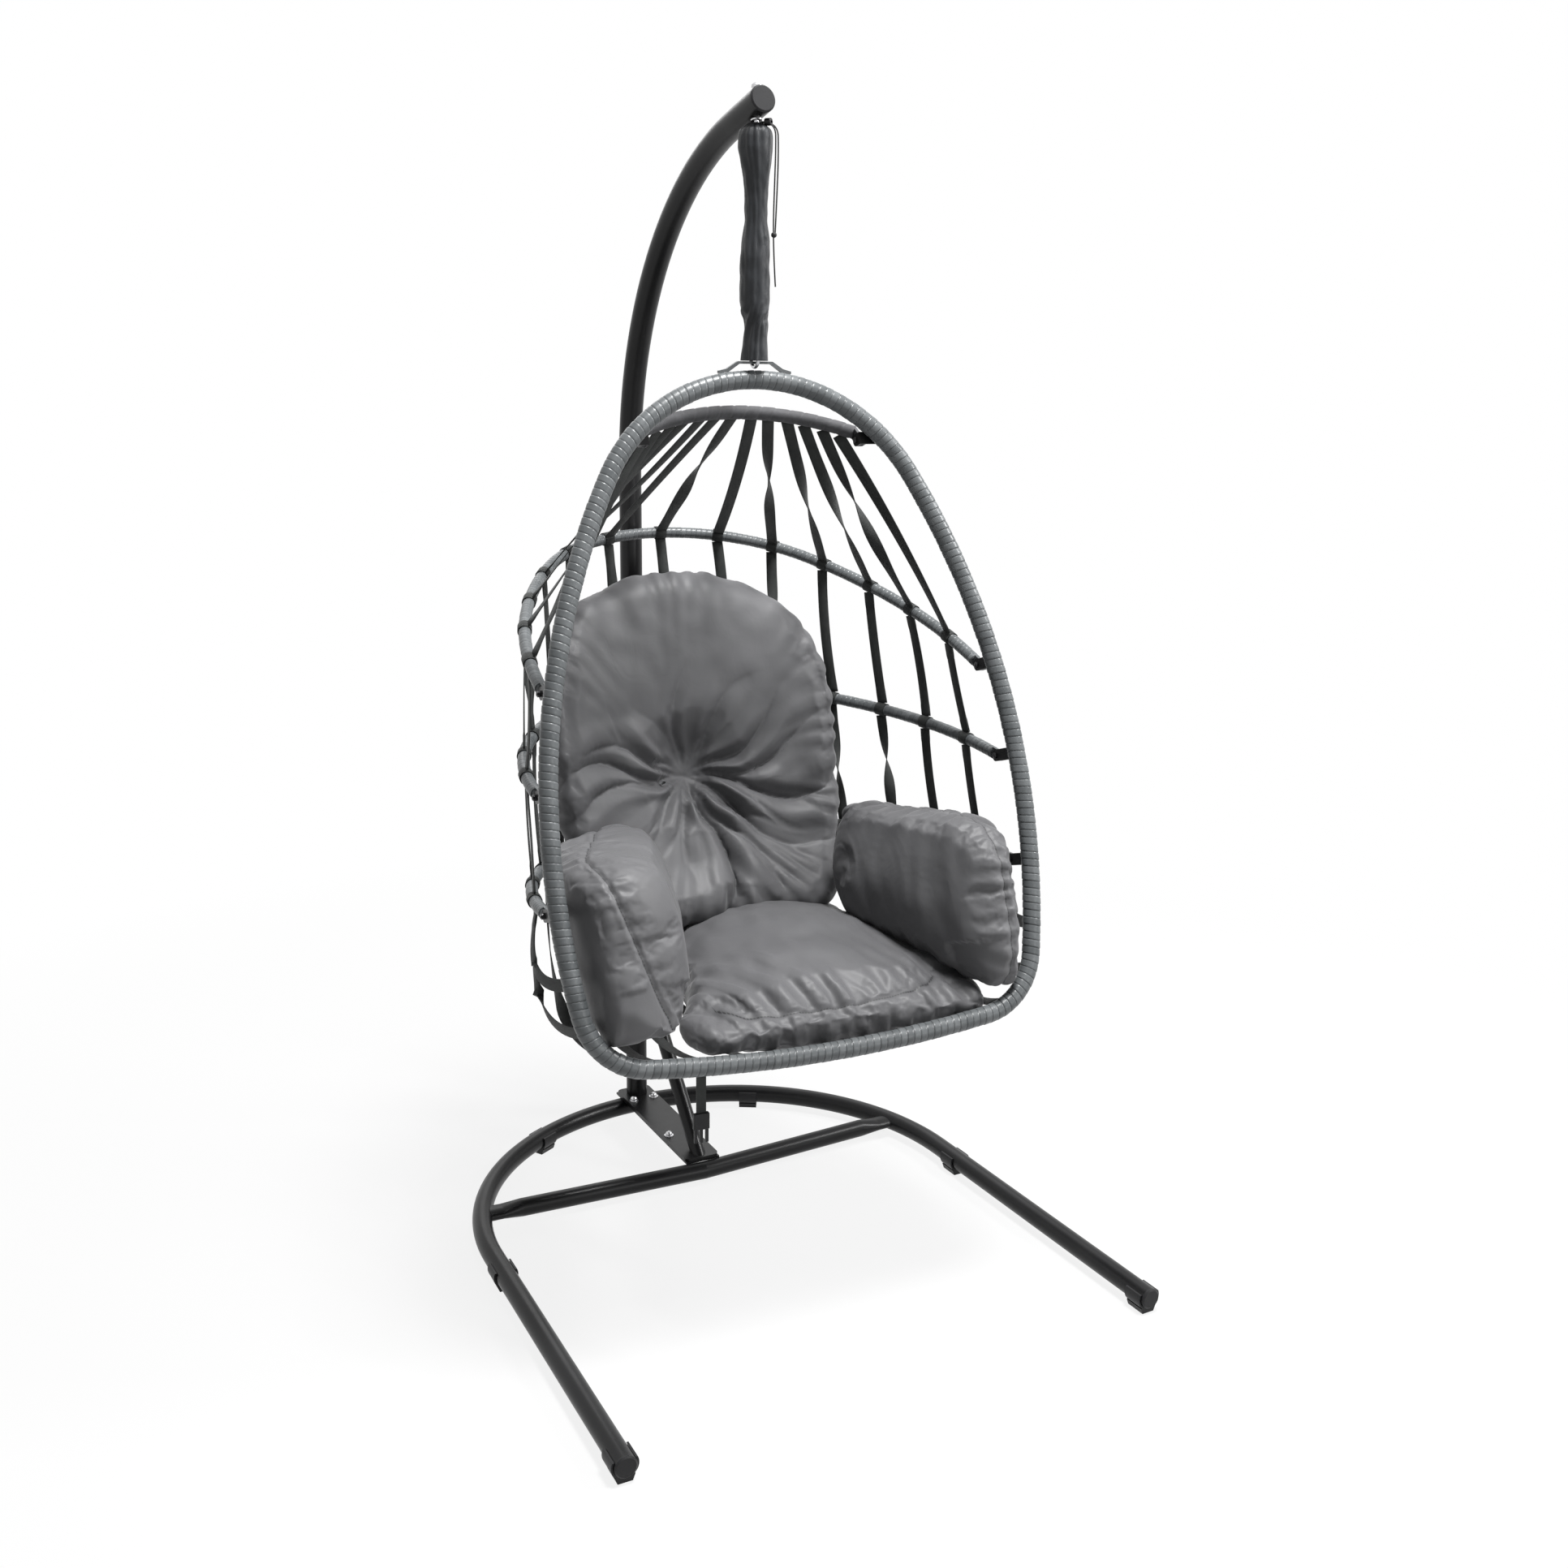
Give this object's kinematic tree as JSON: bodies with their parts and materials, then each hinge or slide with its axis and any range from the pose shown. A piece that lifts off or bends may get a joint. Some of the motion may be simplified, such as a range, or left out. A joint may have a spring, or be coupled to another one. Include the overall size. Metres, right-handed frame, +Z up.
{
  "type": "hanging egg chair",
  "caption": "Hanging egg chair: a wrapped hoop with hinged bows, webbing and cushions, hung by a spring from a bent post on a C-shaped tube stand.",
  "frame": {"origin": "on the floor under the middle of the chair's bounding box", "axes": "+Z up, the sitter faces -Y, left (-X) and right (+X) are as seen from the front"},
  "size_m": [0.9766, 1.0933, 1.9322],
  "materials": {
    "black_paint": "satin",
    "black_plastic": "matte",
    "steel": "zinc",
    "dark_steel": "satin",
    "resin_wrap": "satin",
    "tape_wrap": "woven",
    "webbing": "woven",
    "cushion_cloth": "satin cloth",
    "sleeve_cloth": "satin cloth",
    "cord": "braided"
  },
  "bodies": {
    "stand": {"base_left": "black_paint", "base_right": "black_paint", "foot_plate": "black_paint", "lower_post": "black_paint", "upper_post": "black_paint", "post_joiner": "steel", "plate_bolts": "steel", "plate_nuts": "steel", "joint_bolts": "steel", "post_strut": "black_paint", "post_cap": "black_plastic", "leg_cap_left": "black_plastic", "leg_cap_right": "black_plastic", "hang_eye": "steel", "sleeve_cord": "cord", "cord_knot": "cord", "cord_toggle": "black_plastic", "rear_clip_left": "black_plastic", "leg_clip_left": "black_plastic", "end_clip_left": "black_plastic", "rear_clip_right": "black_plastic", "leg_clip_right": "black_plastic", "end_clip_right": "black_plastic"},
    "top_link": {"upper_hook": "steel"},
    "spring_unit": {"chain_links": "steel", "coil_spring": "steel", "spring_sleeve": "sleeve_cloth"},
    "lower_link": {"lower_hook": "steel"},
    "basket": {"hoop_tube": "black_paint", "hoop_wrap": "resin_wrap", "hang_bridge": "resin_wrap", "top_hinge_forks": "black_paint", "upper_hinge_forks": "black_paint", "middle_hinge_forks": "black_paint", "lower_hinge_forks": "black_paint", "hinge_bolts": "dark_steel", "tie_strap": "webbing", "tie_buckle": "black_plastic", "top_straps": "webbing", "upper_straps": "webbing", "middle_straps": "webbing", "seat_straps": "webbing", "seat_cushion": "cushion_cloth", "back_cushion": "cushion_cloth", "left_arm_cushion": "cushion_cloth", "right_arm_cushion": "cushion_cloth"},
    "top_bow_body": {"top_bow": "tape_wrap"},
    "upper_bow_body": {"upper_bow": "resin_wrap"},
    "middle_bow_body": {"middle_bow": "resin_wrap"},
    "lower_bow_body": {"lower_bow": "resin_wrap"}
  },
  "joints": [
    {"name": "swing_fore_aft", "type": "hinge", "parent": "stand", "child": "top_link", "pos_m": [0, 0.0055, 1.84955], "axis": [1, 0, 0], "range_deg": [-8, 1]},
    {"name": "swing_sideways", "type": "hinge", "parent": "top_link", "child": "spring_unit", "pos_m": [0, 0.0055, 1.80105], "axis": [0, 1, 0], "range_deg": [-6, 6]},
    {"name": "bounce", "type": "slide", "parent": "spring_unit", "child": "lower_link", "axis": [0, 0, -1], "range_m": [0, 0.04], "stiffness_N_per_m": 9000, "springref_m": -0.04, "deforming": ["coil_spring", "spring_sleeve"]},
    {"name": "basket_swivel", "type": "hinge", "parent": "lower_link", "child": "basket", "pos_m": [0, 0.0055, 1.516], "axis": [0, 0, 1], "range_deg": [-30, 30]},
    {"name": "middle_bow_fold", "type": "hinge", "parent": "basket", "child": "middle_bow_body", "pos_m": [-0.01034, -0.12589, 0.87535], "axis": [0.9969, -0.0785, 0], "range_deg": [0, 58], "deforming": ["top_straps", "upper_straps", "middle_straps", "seat_straps", "seat_cushion", "back_cushion", "left_arm_cushion", "right_arm_cushion"]},
    {"name": "upper_bow_fold", "type": "hinge", "parent": "basket", "child": "upper_bow_body", "pos_m": [-0.00724, -0.08643, 1.0264], "axis": [0.9969, -0.0785, 0], "range_deg": [0, 52]},
    {"name": "lower_bow_fold", "type": "hinge", "parent": "basket", "child": "lower_bow_body", "pos_m": [-0.01443, -0.17785, 0.7041], "axis": [0.9969, -0.0785, 0], "range_deg": [0, 64]},
    {"name": "top_bow_fold", "type": "hinge", "parent": "basket", "child": "top_bow_body", "pos_m": [0.00015, 0.00746, 1.39715], "axis": [0.9969, -0.0785, 0], "range_deg": [0, 24]}
  ],
  "couplings": [
    {"joint": "upper_bow_fold", "follows": "middle_bow_fold", "ratio": 0.89655},
    {"joint": "lower_bow_fold", "follows": "middle_bow_fold", "ratio": 1.1034},
    {"joint": "top_bow_fold", "follows": "middle_bow_fold", "ratio": 0.41379}
  ]
}
